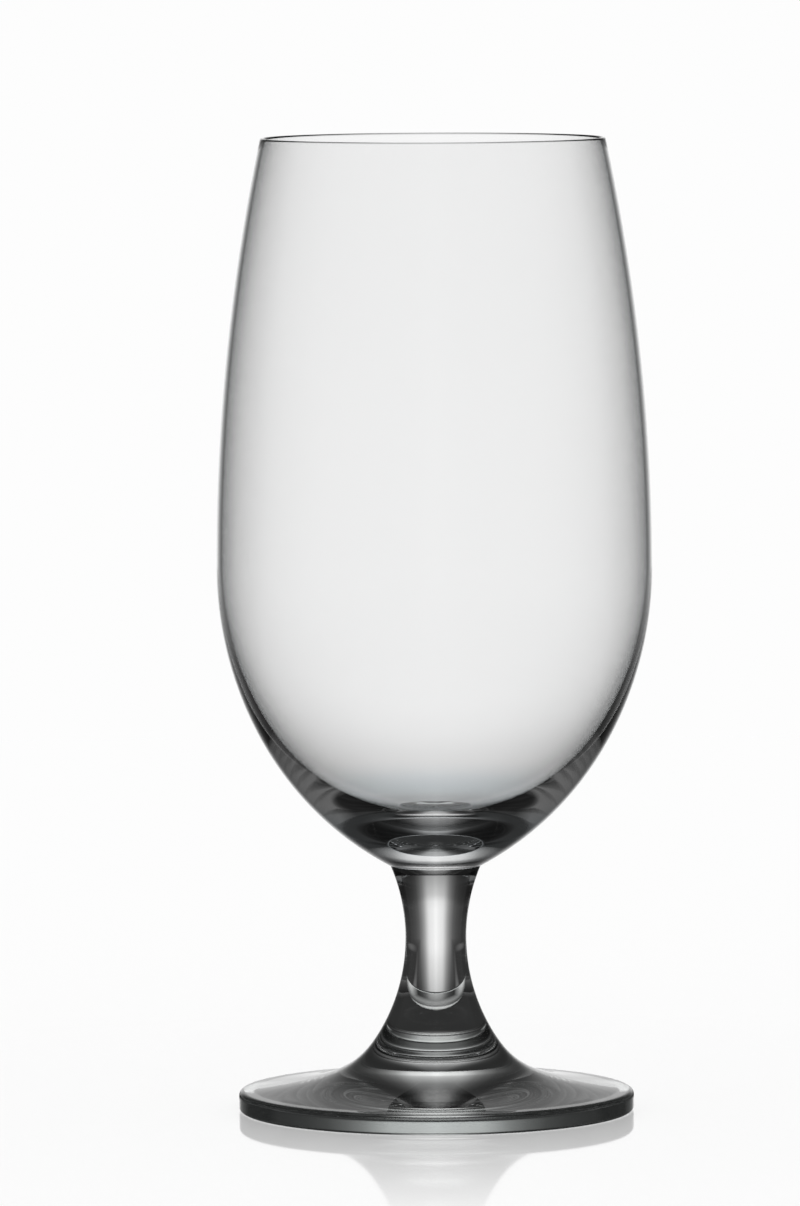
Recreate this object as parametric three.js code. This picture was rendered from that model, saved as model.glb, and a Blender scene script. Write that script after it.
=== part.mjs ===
import * as THREE from "three";

// Stemmed water glass: a thin-walled bowl, a short waisted stem and a round foot,
// three pieces of clear glass welded on one axis while hot.
// Millimetres, +Z up. The glass turns about the Z axis and its foot rests on z = 0.

// Bowl, outside
const OVERALL_HEIGHT = 168;
const RIM_DIAMETER = 59.46;
const BELLY_DIAMETER = 75.01;
const BELLY_HEIGHT = 93.98;

// Bowl, wall and solid base
const RIM_WALL = 0.8;
const BELLY_WALL = 0.9;
const INNER_BELLY_RISE = 0.29; // the hollow is widest this far above the widest part outside
const BASE_THICKNESS = 6.38; // from the weld up to the floor of the hollow

// Welds: each one is a flat disc that two pieces share
const BOWL_WELD_DIAMETER = 15.6;
const BOWL_WELD_HEIGHT = 42.42;
const FOOT_WELD_DIAMETER = 19.8;
const FOOT_WELD_HEIGHT = 13.47;

// Stem
const WAIST_DIAMETER = 10.53;
const WAIST_HEIGHT = 29.97;

// Foot
const FOOT_DIAMETER = 68.26;
const EDGE_HEIGHT = 3.53;
const CORNER_ARC = 0.9; // rounds the edge at its top
const TOE_ARC = 0.6; // rounds the edge where it stands on the table
const BAND_WIDTH = 2.6; // nearly level band that the press leaves inside the edge
const BAND_RISE = 0.05; // how far the band climbs towards the axis
const TOP_SLOPE_DEGREES = 7; // of the top where it meets the band

// How the free curves bend, as shares of the run that each curve covers
const BELLY_TENSION = 0.3579;
const BASE_TENSION = 0.8051;
const BASE_RISE_DEGREES = 28.04; // how steeply the bowl leaves the weld
const WALL_TENSION = 0.4673; // how far the thin wall follows the outside before it thickens
const FLOOR_TENSION = 0.6366; // how far the level floor reaches out from the axis
const FLARE_TENSION = 0.3381;
const TOP_TENSION = 0.6308;

// Facets
const TURN_SEGMENTS = 64;

const point = (radius, height) => new THREE.Vector2(radius, height);

/** Point of a line through start, at an angle above level. */
function along(start, degrees, distance) {
  const angle = THREE.MathUtils.degToRad(degrees);
  return point(start.x + distance * Math.cos(angle), start.y + distance * Math.sin(angle));
}

/** Circle about centre from the direction of one point to the direction of another, the short way. */
function arc(centre, first, last) {
  const from = first.clone().sub(centre).angle();
  const to = last.clone().sub(centre).angle();
  const turn = THREE.MathUtils.euclideanModulo(to - from, 2 * Math.PI);
  const radius = first.distanceTo(centre);
  return new THREE.EllipseCurve(centre.x, centre.y, radius, radius, from, to, turn > Math.PI);
}

/** Centre of the circle that stands upright at one point and passes through another. */
function uprightArcCentre(upright, other) {
  const run = other.x - upright.x;
  const rise = other.y - upright.y;
  return point(upright.x + (run * run + rise * rise) / (2 * run), upright.y);
}

/** Joins curves, each sampled in its own number of steps, into one outline. */
function outlineOf(...stretches) {
  const points = [];
  for (const [curve, steps] of stretches) {
    const sampled = curve.getPoints(steps);
    const joins = points.length > 0 && points.at(-1).distanceTo(sampled[0]) < 1e-6;
    points.push(...sampled.slice(joins ? 1 : 0));
  }
  return points;
}

const line = (from, to) => new THREE.LineCurve(from, to);

/** Turns an outline, which starts and ends on the axis, into a named piece of the glass. */
function turnedPiece(name, outline, material) {
  const geometry = new THREE.LatheGeometry(outline, TURN_SEGMENTS);
  geometry.rotateX(Math.PI / 2);
  const mesh = new THREE.Mesh(geometry, material);
  mesh.name = name;
  return mesh;
}

const clearGlass = (colour, roughness) =>
  new THREE.MeshStandardMaterial({
    color: colour,
    roughness,
    metalness: 0,
    transparent: true,
    opacity: 0.35,
  });

// Places that two pieces share
const bowlWeld = point(BOWL_WELD_DIAMETER / 2, BOWL_WELD_HEIGHT);
const footWeld = point(FOOT_WELD_DIAMETER / 2, FOOT_WELD_HEIGHT);
const waist = point(WAIST_DIAMETER / 2, WAIST_HEIGHT);
const lowerStemCentre = uprightArcCentre(waist, footWeld);

/** Bowl: blown thin at the rim, with a wall that thickens down to a solid dished base. */
function makeBowl() {
  const lip = RIM_WALL / 2;
  const lipCentre = point(RIM_DIAMETER / 2 - lip, OVERALL_HEIGHT - lip);
  const rimOutside = point(lipCentre.x + lip, lipCentre.y);
  const rimInside = point(lipCentre.x - lip, lipCentre.y);
  const lipTop = point(lipCentre.x, OVERALL_HEIGHT);
  const belly = point(BELLY_DIAMETER / 2, BELLY_HEIGHT);
  const innerBelly = point(belly.x - BELLY_WALL, belly.y + INNER_BELLY_RISE);

  const bellyHandle = point(belly.x, belly.y - BELLY_TENSION * (belly.y - bowlWeld.y));
  const baseHandle = along(bowlWeld, BASE_RISE_DEGREES, BASE_TENSION * (belly.x - bowlWeld.x));
  const underside = new THREE.CubicBezierCurve(bowlWeld, baseHandle, bellyHandle, belly);
  const outerSide = arc(uprightArcCentre(belly, rimOutside), belly, rimOutside);

  // The inside leaves the belly upright and ends level on the axis, so the wall thickens into the base.
  const innerSide = arc(uprightArcCentre(innerBelly, rimInside), rimInside, innerBelly);
  const floor = point(0, bowlWeld.y + BASE_THICKNESS);
  const wallHandle = point(innerBelly.x, innerBelly.y - WALL_TENSION * (innerBelly.y - floor.y));
  const floorHandle = point(FLOOR_TENSION * innerBelly.x, floor.y);
  const innerBase = new THREE.CubicBezierCurve(innerBelly, wallHandle, floorHandle, floor);

  const outline = outlineOf(
    [line(point(0, bowlWeld.y), bowlWeld), 1],
    [underside, 14],
    [outerSide, 8],
    [arc(lipCentre, rimOutside, lipTop), 3],
    [arc(lipCentre, lipTop, rimInside), 3],
    [innerSide, 8],
    [innerBase, 18],
  );
  return turnedPiece("bowl", outline, clearGlass(0xe9efed, 0.02));
}

/** Stem: a short solid column, drawn in to a waist by one hollow sweep up and one down. */
function makeStem() {
  const upperCentre = uprightArcCentre(waist, bowlWeld);
  const outline = outlineOf(
    [line(point(0, footWeld.y), footWeld), 1],
    [arc(lowerStemCentre, footWeld, waist), 7],
    [arc(upperCentre, waist, bowlWeld), 6],
    [line(bowlWeld, point(0, bowlWeld.y)), 1],
  );
  return turnedPiece("stem", outline, clearGlass(0xe4ebe9, 0.02));
}

/** Foot: a pressed disc that flares up to the stem, with an upright edge and a flat underside. */
function makeFoot() {
  const edge = FOOT_DIAMETER / 2;
  const toeCentre = point(edge - TOE_ARC, TOE_ARC);
  const toeLow = point(toeCentre.x, 0);
  const toeSide = point(edge, toeCentre.y);
  const cornerCentre = point(edge - CORNER_ARC, EDGE_HEIGHT - CORNER_ARC);
  const cornerSide = point(edge, cornerCentre.y);
  const cornerTop = point(cornerCentre.x, EDGE_HEIGHT);
  const bandInside = point(edge - BAND_WIDTH, EDGE_HEIGHT + BAND_RISE);

  // The top leaves the weld in line with the stem and meets the band at the top's slope.
  const run = bandInside.x - footWeld.x;
  const sweep = footWeld.clone().sub(lowerStemCentre);
  const flareHandle = point(-sweep.y, sweep.x).setLength(FLARE_TENSION * run).add(footWeld);
  const topHandle = along(bandInside, 180 - TOP_SLOPE_DEGREES, TOP_TENSION * run);
  const top = new THREE.CubicBezierCurve(bandInside, topHandle, flareHandle, footWeld);

  const outline = outlineOf(
    [line(point(0, 0), toeLow), 1],
    [arc(toeCentre, toeLow, toeSide), 4],
    [line(toeSide, cornerSide), 1],
    [arc(cornerCentre, cornerSide, cornerTop), 4],
    [line(cornerTop, bandInside), 1],
    [top, 12],
    [line(footWeld, point(0, footWeld.y)), 1],
  );
  return turnedPiece("foot", outline, clearGlass(0xdfe7e5, 0.02));
}

const glass = new THREE.Group();
glass.add(makeFoot(), makeStem(), makeBowl());

export default glass;
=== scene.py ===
import math

import bpy
from mathutils import Matrix, Vector


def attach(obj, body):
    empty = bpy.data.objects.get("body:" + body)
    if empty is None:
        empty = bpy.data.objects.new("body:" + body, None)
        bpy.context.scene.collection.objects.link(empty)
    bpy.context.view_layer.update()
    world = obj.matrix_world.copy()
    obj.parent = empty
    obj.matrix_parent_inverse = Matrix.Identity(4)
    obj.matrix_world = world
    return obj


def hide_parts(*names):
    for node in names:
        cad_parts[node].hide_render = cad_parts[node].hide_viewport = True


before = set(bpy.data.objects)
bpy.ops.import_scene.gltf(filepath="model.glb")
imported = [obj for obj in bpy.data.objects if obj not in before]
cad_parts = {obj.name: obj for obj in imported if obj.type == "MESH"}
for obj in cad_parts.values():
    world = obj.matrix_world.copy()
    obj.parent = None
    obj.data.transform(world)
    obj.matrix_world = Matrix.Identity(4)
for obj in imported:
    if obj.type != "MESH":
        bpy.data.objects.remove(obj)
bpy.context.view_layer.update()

# Bowl
# A gob of clear soda-lime glass, blown thin and fire-polished at the rim.
# Its wall thickens downwards into a solid base with a round floor, which is welded to the stem while hot.


def arc(centre, first, last, steps):
    """Points of the circle about centre from one point to another, the short way."""
    start = math.atan2(first[1] - centre[1], first[0] - centre[0])
    turn = math.atan2(last[1] - centre[1], last[0] - centre[0]) - start
    turn = (turn + math.pi) % math.tau - math.pi
    radius = math.dist(centre, first)
    angles = [start + turn * step / steps for step in range(steps + 1)]
    return [(centre[0] + radius * math.cos(a), centre[1] + radius * math.sin(a)) for a in angles]


def sweep(start, start_handle, end_handle, end, steps):
    """Points of a free curve that is drawn with two handles."""
    points = []
    for step in range(steps + 1):
        t = step / steps
        shares = ((1 - t) ** 3, 3 * t * (1 - t) ** 2, 3 * t * t * (1 - t), t ** 3)
        corners = (start, start_handle, end_handle, end)
        points.append(tuple(sum(s * c[axis] for s, c in zip(shares, corners)) for axis in (0, 1)))
    return points


def straight(start, end, steps):
    """Evenly spaced points from one place to another."""
    shares = [step / steps for step in range(steps + 1)]
    return [tuple(a + (b - a) * t for a, b in zip(start, end)) for t in shares]


def upright_arc_centre(upright, other):
    """Centre of the circle that stands upright at one point and passes through another."""
    run, rise = other[0] - upright[0], other[1] - upright[1]
    return upright[0] + (run * run + rise * rise) / (2 * run), upright[1]


def toward(start, degrees, distance):
    """Point at an angle above level from another."""
    angle = math.radians(degrees)
    return start[0] + distance * math.cos(angle), start[1] + distance * math.sin(angle)


def turned(name, stretches, rounds):
    """Draws an outline in millimetres point by point, from the axis to the axis, and spins it once round."""
    outline = [stretches[0][0]]
    for stretch in stretches:
        outline += stretch[1:]
    metres = [Vector((radius / 1000, 0, height / 1000)) for radius, height in outline]
    bpy.ops.object.select_all(action="DESELECT")
    bpy.ops.mesh.primitive_plane_add(size=0.001)
    piece = bpy.context.object
    piece.name = piece.data.name = name
    bpy.ops.object.mode_set(mode="EDIT")
    bpy.ops.mesh.select_all(action="SELECT")
    bpy.ops.mesh.merge(type="CENTER")
    bpy.ops.transform.translate(value=metres[0])
    for here, following in zip(metres, metres[1:]):
        bpy.ops.mesh.extrude_region_move(TRANSFORM_OT_translate={"value": following - here})
    bpy.ops.mesh.select_all(action="SELECT")
    bpy.ops.mesh.spin(steps=rounds, angle=math.tau, center=(0, 0, 0), axis=(0, 0, 1))
    bpy.ops.mesh.select_all(action="SELECT")
    bpy.ops.mesh.remove_doubles(threshold=2e-6)
    bpy.ops.mesh.normals_make_consistent(inside=False)
    bpy.ops.object.mode_set(mode="OBJECT")
    bpy.ops.object.shade_smooth_by_angle(angle=math.radians(30))
    return piece


def node(tree, kind, operation=None, **values):
    """Adds a node and sets its operation and the inputs that are named."""
    made = tree.nodes.new(kind)
    if operation:
        made.operation = operation
    for key, value in values.items():
        made.inputs[key.replace("_", " ").title()].default_value = value
    return made


def ramp(tree, source, *stops):
    """Grey levels or colours along a value, each stop a place from 0 to 1 and a level."""
    made = tree.nodes.new("ShaderNodeValToRGB")
    elements = made.color_ramp.elements
    elements.remove(elements[1])
    for place, level in stops:
        stop = elements[0] if place == stops[0][0] else elements.new(place)
        stop.position = place
        stop.color = (level, level, level, 1) if isinstance(level, float) else level
    tree.links.new(source, made.inputs["Fac"])
    return made.outputs["Color"]


def scaled(tree, source, **span):
    """Spreads part of a value's range from 0 to 1, or as the span says."""
    made = node(tree, "ShaderNodeMapRange", **span)
    tree.links.new(source, made.inputs["Value"])
    return made.outputs["Result"]


def blended(tree, kind, first, second, share=None):
    """Two colours blended, all over or by a share."""
    made = node(tree, "ShaderNodeMixRGB", fac=1.0)
    made.blend_type = kind
    tree.links.new(first, made.inputs[1])
    tree.links.new(second, made.inputs[2])
    if share is not None:
        tree.links.new(share, made.inputs[0])
    return made.outputs[0]


def clear_glass(name, edge_tint_and_shade, reach, depth_tints_and_shade, wave_scale):
    """Polished clear glass with slight hot-work waves.

    At grazing edges it is darkened a little: painted shade, with the glass's own faint colour in it.
    Where it is deep its own colour shows, and painted shade where a piece's depth stops ask for it; the depth
    stops are tints at distances in millimetres along the reach, which is the height or the radius.
    """
    untinted = (1, 1, 1, 1)
    edge_start = 0.7
    wave_height = 2e-6
    material = bpy.data.materials.new(name)
    material.use_nodes = True
    tree = material.node_tree
    glass = tree.nodes["Principled BSDF"]
    glass.inputs["Roughness"].default_value = 0.0
    glass.inputs["IOR"].default_value = 1.52
    glass.inputs["Transmission Weight"].default_value = 1.0
    place = node(tree, "ShaderNodeTexCoord")
    facing = node(tree, "ShaderNodeLayerWeight", blend=0.5)
    # Painted shade with the glass's own faint tint: the colour darkens towards edges seen edge-on
    edges = ramp(tree, facing.outputs["Facing"], (0.0, untinted), (edge_start, untinted), (1.0, edge_tint_and_shade))
    reached = node(tree, "ShaderNodeVectorMath", operation="MULTIPLY")
    reached.inputs[1].default_value = reach
    tree.links.new(place.outputs["Object"], reached.inputs[0])
    distance = node(tree, "ShaderNodeVectorMath", operation="LENGTH")
    tree.links.new(reached.outputs[0], distance.inputs[0])
    decimetres = scaled(tree, distance.outputs["Value"], from_max=0.1)
    # Tints by depth: the glass's own colour, and painted shade where a piece's stops ask for it
    depth_tint_and_shade = ramp(tree, decimetres, *[(millimetres / 100, tint) for millimetres, tint in depth_tints_and_shade])
    tree.links.new(blended(tree, "MULTIPLY", edges, depth_tint_and_shade), glass.inputs["Base Color"])
    stretch = node(tree, "ShaderNodeMapping")
    stretch.inputs["Scale"].default_value = wave_scale
    waves = node(tree, "ShaderNodeTexNoise", scale=1.0, detail=1.0)
    bump = node(tree, "ShaderNodeBump", strength=1.0, distance=wave_height)
    tree.links.new(place.outputs["Object"], stretch.inputs["Vector"])
    tree.links.new(stretch.outputs["Vector"], waves.inputs["Vector"])
    tree.links.new(waves.outputs["Fac"], bump.inputs["Height"])
    tree.links.new(bump.outputs["Normal"], glass.inputs["Normal"])
    return material


def fused(piece, glass, *weld_heights):
    """Gives a piece its glass, and no surface at all on the discs where it is fused to the next piece."""
    piece.data.materials.append(glass)
    piece.data.materials.append(weld)
    nearly_upright = 0.999
    nearly_there = 1e-6
    for face in piece.data.polygons:
        flat = abs(face.normal.z) > nearly_upright
        if flat and any(abs(face.center.z - height / 1000) < nearly_there for height in weld_heights):
            face.material_index = 1


weld = bpy.data.materials.new("weld")
weld.use_nodes = True
weld.node_tree.nodes.remove(weld.node_tree.nodes["Principled BSDF"])
inside = node(weld.node_tree, "ShaderNodeBsdfTransparent")
weld.node_tree.links.new(inside.outputs["BSDF"], weld.node_tree.nodes["Material Output"].inputs["Surface"])

overall_height = 168.0
rim_radius = 29.73
rim_wall = 0.8
belly = (37.505, 93.98)
belly_wall = 0.9
inner_belly_rise = 0.29
base_thickness = 6.38
bowl_weld = (7.8, 42.42)
belly_tension = 0.3579
base_tension = 0.8051
base_rise = 28.04
wall_tension = 0.4673
floor_tension = 0.6366

lip = rim_wall / 2
lip_centre = (rim_radius - lip, overall_height - lip)
rim_outside = (rim_radius, lip_centre[1])
rim_inside = (rim_radius - rim_wall, lip_centre[1])
lip_top = (lip_centre[0], overall_height)
inner_belly = (belly[0] - belly_wall, belly[1] + inner_belly_rise)
belly_handle = (belly[0], belly[1] - belly_tension * (belly[1] - bowl_weld[1]))
base_handle = toward(bowl_weld, base_rise, base_tension * (belly[0] - bowl_weld[0]))
floor = (0.0, bowl_weld[1] + base_thickness)
wall_handle = (inner_belly[0], inner_belly[1] - wall_tension * (inner_belly[1] - floor[1]))
floor_handle = (floor_tension * inner_belly[0], floor[1])

bowl = turned("bowl_glass", [
    straight((0.0, bowl_weld[1]), bowl_weld, steps=1),
    sweep(bowl_weld, base_handle, belly_handle, belly, steps=140),
    arc(upright_arc_centre(belly, rim_outside), belly, rim_outside, steps=36),
    arc(lip_centre, rim_outside, lip_top, steps=8),
    arc(lip_centre, lip_top, rim_inside, steps=8),
    arc(upright_arc_centre(inner_belly, rim_inside), rim_inside, inner_belly, steps=36),
    sweep(inner_belly, wall_handle, floor_handle, floor, steps=150),
], rounds=256)
upward_reach = (0, 0, 1)
colourless = (0.999, 1.0, 1.0, 1)
base_tint = (0.88, 0.94, 0.97, 1)
# Painted shade and the glass's own faint tint, where the bowl is seen edge-on
bowl_edge_tint_and_shade = (0.93, 0.975, 0.985, 1)
bowl_depths = [(44, colourless), (47, base_tint), (50, base_tint), (54, colourless)]
bowl_glass = clear_glass("bowl_glass", bowl_edge_tint_and_shade, upward_reach, bowl_depths, wave_scale=(25, 25, 8))
fused(bowl, bowl_glass, bowl_weld[1])
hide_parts("bowl")
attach(bowl, "root")

# Stem
# A short solid column of the same glass, drawn down to a waist between the bowl and the foot.
# Both its ends are fused: a fine crease round the weld under the bowl is all that shows.

waist = (5.265, 29.97)
foot_weld = (9.9, 13.47)

lower_stem_centre = upright_arc_centre(waist, foot_weld)
stem = turned("stem_glass", [
    straight((0.0, foot_weld[1]), foot_weld, steps=1),
    arc(lower_stem_centre, foot_weld, waist, steps=60),
    arc(upright_arc_centre(waist, bowl_weld), waist, bowl_weld, steps=50),
    straight(bowl_weld, (0.0, bowl_weld[1]), steps=1),
], rounds=192)
outward_reach = (1, 1, 0)
# Painted shade and the glass's own faint tint, where the stem is seen edge-on
stem_edge_tint_and_shade = (0.95, 0.975, 0.97, 1)
stem_depths = [(5, colourless), (8, (0.985, 0.995, 0.99, 1))]
stem_glass = clear_glass("stem_glass", stem_edge_tint_and_shade, outward_reach, stem_depths, wave_scale=(60, 60, 12))
fused(stem, stem_glass, bowl_weld[1], foot_weld[1])
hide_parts("stem")
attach(stem, "root")

# Foot
# A gob pressed into a disc that flares up to the stem and stands on a flat underside.
# The press leaves an upright edge with rounded corners and a nearly level band inside it.

foot_radius = 34.13
edge_height = 3.53
corner = 0.9
toe = 0.6
band_width = 2.6
band_rise = 0.05
top_slope = 7.0
flare_tension = 0.3381
top_tension = 0.6308

toe_centre = (foot_radius - toe, toe)
toe_low = (toe_centre[0], 0.0)
toe_side = (foot_radius, toe)
corner_centre = (foot_radius - corner, edge_height - corner)
corner_side = (foot_radius, corner_centre[1])
corner_top = (corner_centre[0], edge_height)
band_inside = (foot_radius - band_width, edge_height + band_rise)
top_run = band_inside[0] - foot_weld[0]
stem_sweep = (foot_weld[0] - lower_stem_centre[0], foot_weld[1] - lower_stem_centre[1])
flare = flare_tension * top_run / math.hypot(*stem_sweep)
flare_handle = (foot_weld[0] - flare * stem_sweep[1], foot_weld[1] + flare * stem_sweep[0])
top_handle = toward(band_inside, 180 - top_slope, top_tension * top_run)

foot = turned("foot_glass", [
    straight((0.0, 0.0), toe_low, steps=1),
    arc(toe_centre, toe_low, toe_side, steps=12),
    straight(toe_side, corner_side, steps=4),
    arc(corner_centre, corner_side, corner_top, steps=10),
    straight(corner_top, band_inside, steps=6),
    sweep(band_inside, top_handle, flare_handle, foot_weld, steps=100),
    straight(foot_weld, (0.0, foot_weld[1]), steps=1),
], rounds=256)
# Painted shade and the glass's own faint tint, where the foot is seen edge-on
foot_edge_tint_and_shade = (0.95, 0.98, 0.97, 1)
# The foot's outer edge is painted dark grey: painted shade for its dark edge, with the glass's own colour
# where light runs far through it
foot_depth_tint_and_edge_shade = [(33.2, (0.985, 1.0, 0.993, 1)), (33.95, (0.54, 0.57, 0.56, 1))]
foot_glass = clear_glass("foot_glass", foot_edge_tint_and_shade, outward_reach, foot_depth_tint_and_edge_shade, wave_scale=(40, 40, 40))
fused(foot, foot_glass, foot_weld[1])
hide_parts("foot")
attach(foot, "root")

# Table
# A plain glossy white top, larger than the picture, that mirrors the foot softly and keeps its shadow.
# Seen through the glass it lets the studio show, but shows a painted shadow by the foot and painted shade in
# two sectors beside it.


def worked(tree, operation, first, second=None):
    """One step of arithmetic on a value, with a second value or a number."""
    made = node(tree, "ShaderNodeMath", operation=operation)
    tree.links.new(first, made.inputs[0])
    if isinstance(second, float):
        made.inputs[1].default_value = second
    elif second is not None:
        tree.links.new(second, made.inputs[1])
    return made.outputs[0]


def layered(tree, share, under, over):
    """Two shaders mixed by the share that the second one has."""
    made = node(tree, "ShaderNodeMixShader")
    tree.links.new(share, made.inputs[0])
    tree.links.new(under, made.inputs[1])
    tree.links.new(over, made.inputs[2])
    return made.outputs[0]


def bearing_from_back(tree, directions):
    """How far a direction is turned from the back of the set, to either side, in radians."""
    axes = node(tree, "ShaderNodeSeparateXYZ")
    tree.links.new(directions, axes.inputs[0])
    return worked(tree, "ABSOLUTE", worked(tree, "ARCTAN2", axes.outputs["X"], axes.outputs["Y"]))


def bearings(*stops):
    """Ramp stops for a bearing that runs from 0 to 180 degrees."""
    return [(degrees / 180, level) for degrees, level in stops]


table_radius = 0.7
table_gap = 0.0001
white = (0.982, 0.982, 0.982, 1)
# Grey of the painted shadow by the foot and of the painted shade in the sectors
painted_shade_grey = (0.03, 0.03, 0.03, 1)
# Limits between whole counts of how often a ray was mirrored or went through a surface
never_mirrored = 0.5
two_surfaces = 2.5

bpy.ops.object.select_all(action="DESELECT")
bpy.ops.mesh.primitive_circle_add(vertices=96, radius=table_radius, fill_type="NGON")
table = bpy.context.object
table.name = table.data.name = "table"
bpy.ops.object.mode_set(mode="EDIT")
bpy.ops.mesh.select_all(action="SELECT")
bpy.ops.transform.translate(value=(0, 0, -table_gap))
bpy.ops.object.mode_set(mode="OBJECT")

gloss_white = bpy.data.materials.new("gloss_white")
gloss_white.use_nodes = True
tree = gloss_white.node_tree
tree.nodes.remove(tree.nodes["Principled BSDF"])
path = node(tree, "ShaderNodeLightPath")
place = node(tree, "ShaderNodeTexCoord")
length = node(tree, "ShaderNodeVectorMath", operation="LENGTH")
tree.links.new(place.outputs["Object"], length.inputs[0])
from_axis = length.outputs["Value"]

# The top as the camera sees it: white, with a mirror image that fades away from the foot
matt = node(tree, "ShaderNodeBsdfDiffuse", color=(1, 1, 1, 1))
bright = node(tree, "ShaderNodeEmission", color=white)
shown_bright = scaled(tree, path.outputs["Is Camera Ray"], to_max=0.6)
top_coat = layered(tree, shown_bright, matt.outputs[0], bright.outputs[0])
shine = node(tree, "ShaderNodeBsdfGlossy", color=(1, 1, 1, 1), roughness=0.05)
fade = scaled(tree, from_axis, from_min=0.035, from_max=0.14, to_min=0.5, to_max=0.0)
coated = layered(tree, fade, top_coat, shine.outputs[0])

# The painted shadow close to the foot: dark through the glass, but clear along the table and from above
layer = node(tree, "ShaderNodeLayerWeight", blend=0.5)
facing = layer.outputs["Facing"]
outside_foot = scaled(tree, from_axis, from_min=0.018, from_max=0.034)
grazing = scaled(tree, facing, from_min=0.6, from_max=0.88)
looked_through = worked(tree, "LESS_THAN", path.outputs["Glossy Depth"], never_mirrored)
first_pass = worked(tree, "LESS_THAN", path.outputs["Transmission Depth"], two_surfaces)
steep = scaled(tree, facing, from_min=0.45, from_max=0.25)
from_above = worked(tree, "MULTIPLY", worked(tree, "MULTIPLY", looked_through, first_pass), steep)
plumb = scaled(tree, facing, from_min=0.07, from_max=0.03)
from_overhead = worked(tree, "MULTIPLY", looked_through, plumb)
from_high = worked(tree, "MAXIMUM", from_above, from_overhead)
open_table = worked(tree, "MAXIMUM", worked(tree, "MAXIMUM", outside_foot, grazing), from_high)

# Painted shade in two sectors beside the foot, for rays that went through two surfaces of glass at most
turned_away = scaled(tree, bearing_from_back(tree, place.outputs["Object"]), from_max=math.pi)
painted_sector_shade = ramp(tree, turned_away, *bearings((20, 1.0), (28, 0.0), (62, 0.0), (70, 1.0)))
beyond = scaled(tree, from_axis, from_min=0.12, from_max=0.26)
later_pass = worked(tree, "GREATER_THAN", path.outputs["Transmission Depth"], two_surfaces)
unshaded = worked(tree, "MAXIMUM", worked(tree, "MAXIMUM", painted_sector_shade, beyond), later_pass)

lit = worked(tree, "MULTIPLY", open_table, unshaded)
# Painted shade on the table: a dim glow where rays seen through the glass meet it by the foot and in the
# sectors
painted_table_shade = node(tree, "ShaderNodeEmission", color=painted_shade_grey)
no_surface = node(tree, "ShaderNodeBsdfTransparent")
below = layered(tree, lit, painted_table_shade.outputs[0], no_surface.outputs[0])
seen = layered(tree, path.outputs["Is Singular Ray"], coated, below)
tree.links.new(seen, tree.nodes["Material Output"].inputs["Surface"])
table.data.materials.append(gloss_white)

# Studio
# A white panel stands behind the glass with dark cards at its sides, so that clear glass shows dark edges.
# Light that is only bent, never mirrored, meets more panels all round. All but the glass sees plain white.


def elevations(*stops):
    """Ramp stops for a height that runs from 90 degrees below level to 90 above."""
    return [((degrees + 90) / 180, level) for degrees, level in stops]


four_surfaces = 3.5
table_alone = 1.5

studio = bpy.data.worlds.new("studio")
bpy.context.scene.world = studio
studio.use_nodes = True
tree = studio.node_tree
path = node(tree, "ShaderNodeLightPath")
towards = node(tree, "ShaderNodeTexCoord")
from_back = bearing_from_back(tree, towards.outputs["Generated"])
turned_away = scaled(tree, from_back, from_max=math.pi)
axes = node(tree, "ShaderNodeSeparateXYZ")
tree.links.new(towards.outputs["Generated"], axes.inputs[0])
height = worked(tree, "ARCSINE", axes.outputs["Z"])
upward = scaled(tree, height, from_min=-math.pi / 2, from_max=math.pi / 2)

# Panel behind the glass and its cards, narrower towards the floor
width = ramp(tree, upward, *elevations((-30, 0.75), (-8, 1.0)))
across = worked(tree, "DIVIDE", from_back, worked(tree, "MULTIPLY", width, math.pi))
panel = ramp(tree, across, *bearings(
    (0, 1.0), (1, 0.985), (3, 0.92), (6, 0.87), (9, 0.8), (12, 0.58), (15, 0.36), (19, 0.21), (24, 0.105),
    (30, 0.065), (38, 0.043), (48, 0.033), (66, 0.033), (76, 0.15), (114, 0.15), (150, 0.1), (180, 0.1)))
rows = ramp(tree, upward, *elevations(
    (-90, 0.2), (-70, 0.35), (-50, 0.45), (-36, 0.52), (-31, 0.63), (-24, 0.73), (-18, 0.83), (-15, 0.88),
    (-12, 0.955), (-9.5, 1.0), (4, 1.0), (7, 0.92), (10, 0.65), (15, 0.5), (20, 0.4), (27, 0.25), (40, 0.1),
    (90, 0.1)))
cards = blended(tree, "MULTIPLY", panel, rows)

# Panels at the sides, the front quarters and the front, and a pale floor below for rays clear of the welds
side_panels = ramp(tree, turned_away, *bearings(
    (0, 0.0), (70, 0.0), (76, 0.35), (82, 0.85), (90, 1.0), (98, 0.85), (104, 0.5), (112.5, 0.25), (121, 0.5),
    (127, 0.85), (135, 1.0), (143, 0.85), (149, 0.5), (157.5, 0.25), (166, 0.5), (172, 0.85), (180, 1.0)))
side_rows = ramp(tree, upward, *elevations((-30, 0.95), (5, 1.0), (15, 0.8), (40, 0.3)))
side_light = blended(tree, "MULTIPLY", side_panels, side_rows)
floor_light = ramp(tree, upward, *elevations((-90, 0.93), (-57, 0.93), (-48, 0.0)))
clear_of_welds = worked(tree, "LESS_THAN", path.outputs["Transparent Depth"], table_alone)
open_sides = blended(tree, "LIGHTEN", side_light, floor_light, clear_of_welds)

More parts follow.
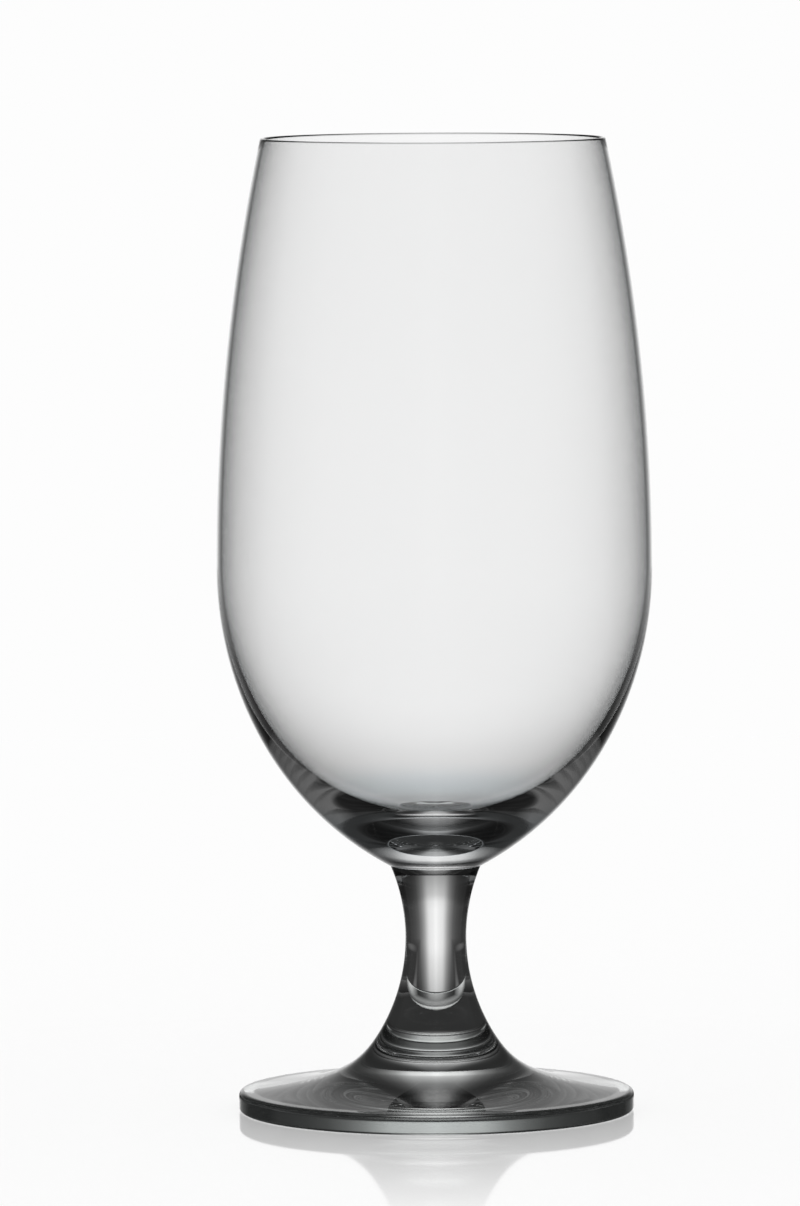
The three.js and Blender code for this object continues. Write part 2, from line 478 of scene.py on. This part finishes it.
# Panels at the back quarters, for what is seen through both walls of the bowl or down through its mouth
quarter_panels = ramp(tree, turned_away, *bearings(
    (25, 0.0), (32, 0.4), (38, 0.8), (45, 0.95), (52, 0.8), (58, 0.4), (65, 0.0)))
both_walls = worked(tree, "GREATER_THAN", path.outputs["Transmission Depth"], four_surfaces)
mouth_rows = ramp(tree, upward, *elevations((-40, 0.0), (-34, 1.0), (-13, 1.0), (-9, 0.0)))
through_bowl = worked(tree, "MAXIMUM", both_walls, mouth_rows)
open_quarters = blended(tree, "LIGHTEN", open_sides, quarter_panels, through_bowl)

looked_through = worked(tree, "LESS_THAN", path.outputs["Glossy Depth"], never_mirrored)
all_round = blended(tree, "LIGHTEN", cards, open_quarters, looked_through)
shown = node(tree, "ShaderNodeMixRGB")
shown.inputs[1].default_value = white
tree.links.new(path.outputs["Is Singular Ray"], shown.inputs[0])
tree.links.new(all_round, shown.inputs[2])
tree.links.new(shown.outputs[0], tree.nodes["Background"].inputs["Color"])

# Camera
# It stands 1.6 metres off, a little above the rim, and looks slightly down with a long lens.
# Light may cross many surfaces of glass before it reaches it.

lens_length = 280.99
sensor_width = 36
camera_place = (0, -1.6169, 0.21474)
yaw, pitch, roll = math.radians(0.2109), math.radians(4.486), math.radians(0.25)
glass_bounces = 24

scene = bpy.context.scene
scene.view_settings.view_transform = "Standard"
scene.cycles.max_bounces = glass_bounces
scene.cycles.transmission_bounces = glass_bounces
scene.cycles.glossy_bounces = glass_bounces
scene.cycles.transparent_max_bounces = glass_bounces
lens = bpy.data.cameras.new("camera")
lens.lens = lens_length
lens.sensor_width = sensor_width
camera = bpy.data.objects.new("camera", lens)
scene.collection.objects.link(camera)
aim = Vector((-math.sin(yaw) * math.cos(pitch), math.cos(yaw) * math.cos(pitch), -math.sin(pitch)))
level_view = aim.to_track_quat("-Z", "Y").to_matrix().to_4x4()
camera.matrix_world = Matrix.Translation(camera_place) @ level_view @ Matrix.Rotation(-roll, 4, "Z")
bpy.context.scene.camera = camera
